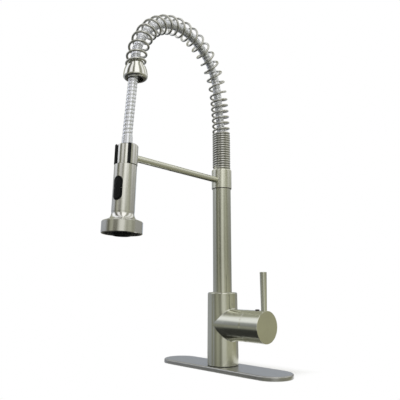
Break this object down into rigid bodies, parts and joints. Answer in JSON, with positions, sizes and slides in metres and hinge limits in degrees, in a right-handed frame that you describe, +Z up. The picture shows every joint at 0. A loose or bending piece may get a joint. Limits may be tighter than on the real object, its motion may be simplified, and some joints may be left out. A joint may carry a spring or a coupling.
{
  "type": "spring kitchen faucet",
  "caption": "Kitchen faucet with a side lever, a spring-wrapped hose in a high arch, a support arm with an open dock ring, a pull-down spray wand and a long deck plate.",
  "frame": {"origin": "on the axis of the body and shank, in the plane of the sink deck under the gasket", "axes": "+Z up along the riser, +X along the deck plate towards the handle, -Y out over the sink"},
  "size_m": [0.26, 0.2759, 0.6165],
  "materials": {
    "nickel": "satin",
    "plate_nickel": "satin",
    "spring_wire": "satin",
    "hose_steel": "satin",
    "black_plastic": "satin",
    "dark_trim": "gloss",
    "rubber": "matte",
    "nozzle_rubber": "matte",
    "brass": "satin",
    "steel": "satin",
    "white_plastic": "satin",
    "disc_ceramic": "polished"
  },
  "bodies": {
    "base": {"deck_plate": "plate_nickel", "deck_gasket": "rubber", "base_seal_ring": "rubber", "mounting_shank": "brass", "rubber_washer": "rubber", "steel_washer": "steel", "mounting_nut": "brass", "faucet_body": "nickel", "cartridge_seal": "rubber", "cartridge_housing": "white_plastic", "fixed_disc": "disc_ceramic", "cartridge_nut": "brass", "dome_cap": "nickel", "riser_gland": "white_plastic"},
    "stem_rotor": {"stem_guide": "white_plastic", "stem_pin": "steel"},
    "disc_slider": {"moving_disc": "disc_ceramic", "disc_carrier": "white_plastic"},
    "handle": {"valve_stem": "brass", "handle_hub": "nickel", "handle_lever": "nickel", "handle_set_screw": "steel", "index_button": "dark_trim"},
    "spout": {"riser_tube": "nickel", "riser_o_rings": "rubber", "arm_collar": "nickel", "collar_line": "dark_trim", "collar_set_screw": "steel", "support_arm": "nickel", "dock_ring": "nickel", "dock_liner": "black_plastic", "spring_spigot": "brass", "spring": "spring_wire", "hose": "hose_steel"},
    "hose_end": {"spring_ferrule": "nickel", "hose_sleeve": "hose_steel", "hose_nut": "black_plastic", "hose_washer": "rubber", "wand_o_ring": "rubber"},
    "wand": {"wand_shell": "nickel", "button_bezel": "black_plastic", "rocker_pin": "steel", "waterway": "white_plastic", "spray_manifold": "white_plastic", "spray_face": "black_plastic", "spray_nozzles": "nozzle_rubber", "aerator": "black_plastic", "aerator_screen": "steel"},
    "rocker": {"rocker_button": "black_plastic"},
    "diverter": {"diverter_spool": "white_plastic"}
  },
  "joints": [
    {"name": "spout_swivel", "type": "hinge", "parent": "base", "child": "spout", "pos_m": [0, 0, 0.103], "axis": [0, 0, 1], "continuous": true},
    {"name": "handle_temperature", "type": "hinge", "parent": "base", "child": "stem_rotor", "pos_m": [0.046, 0, 0.06986], "axis": [1, 0, 0], "range_deg": [-45, 45]},
    {"name": "handle_flow", "type": "hinge", "parent": "stem_rotor", "child": "handle", "pos_m": [0.046, 0, 0.06986], "axis": [0, 1, 0], "range_deg": [0, 22]},
    {"name": "disc_shift", "type": "slide", "parent": "stem_rotor", "child": "disc_slider", "axis": [0, 0, 1], "range_m": [0, 0.004]},
    {"name": "wand_pull", "type": "slide", "parent": "spout", "child": "hose_end", "axis": [0.0049, -0.0398, -0.9992], "range_m": [0, 0.08], "stiffness_N_per_m": 400, "springref_m": -0.03, "deforming": ["spring", "hose"]},
    {"name": "wand_spin", "type": "hinge", "parent": "hose_end", "child": "wand", "pos_m": [0.02631, -0.21369, 0.3056], "axis": [0.0049, -0.0398, -0.9992], "continuous": true},
    {"name": "rocker_tilt", "type": "hinge", "parent": "wand", "child": "rocker", "pos_m": [0.03134, -0.22874, 0.25839], "axis": [0.9396, 0.3422, -0.009], "range_deg": [-4.05, 4.05]},
    {"name": "diverter_shift", "type": "slide", "parent": "wand", "child": "diverter", "axis": [-0.0049, 0.0398, 0.9992], "range_m": [-0.00069, 0.00069]}
  ],
  "couplings": [
    {"joint": "disc_shift", "follows": "handle_flow", "m_per_rad": 0.01},
    {"joint": "rocker_tilt", "follows": "diverter_shift", "rad_per_m": 100.91}
  ]
}
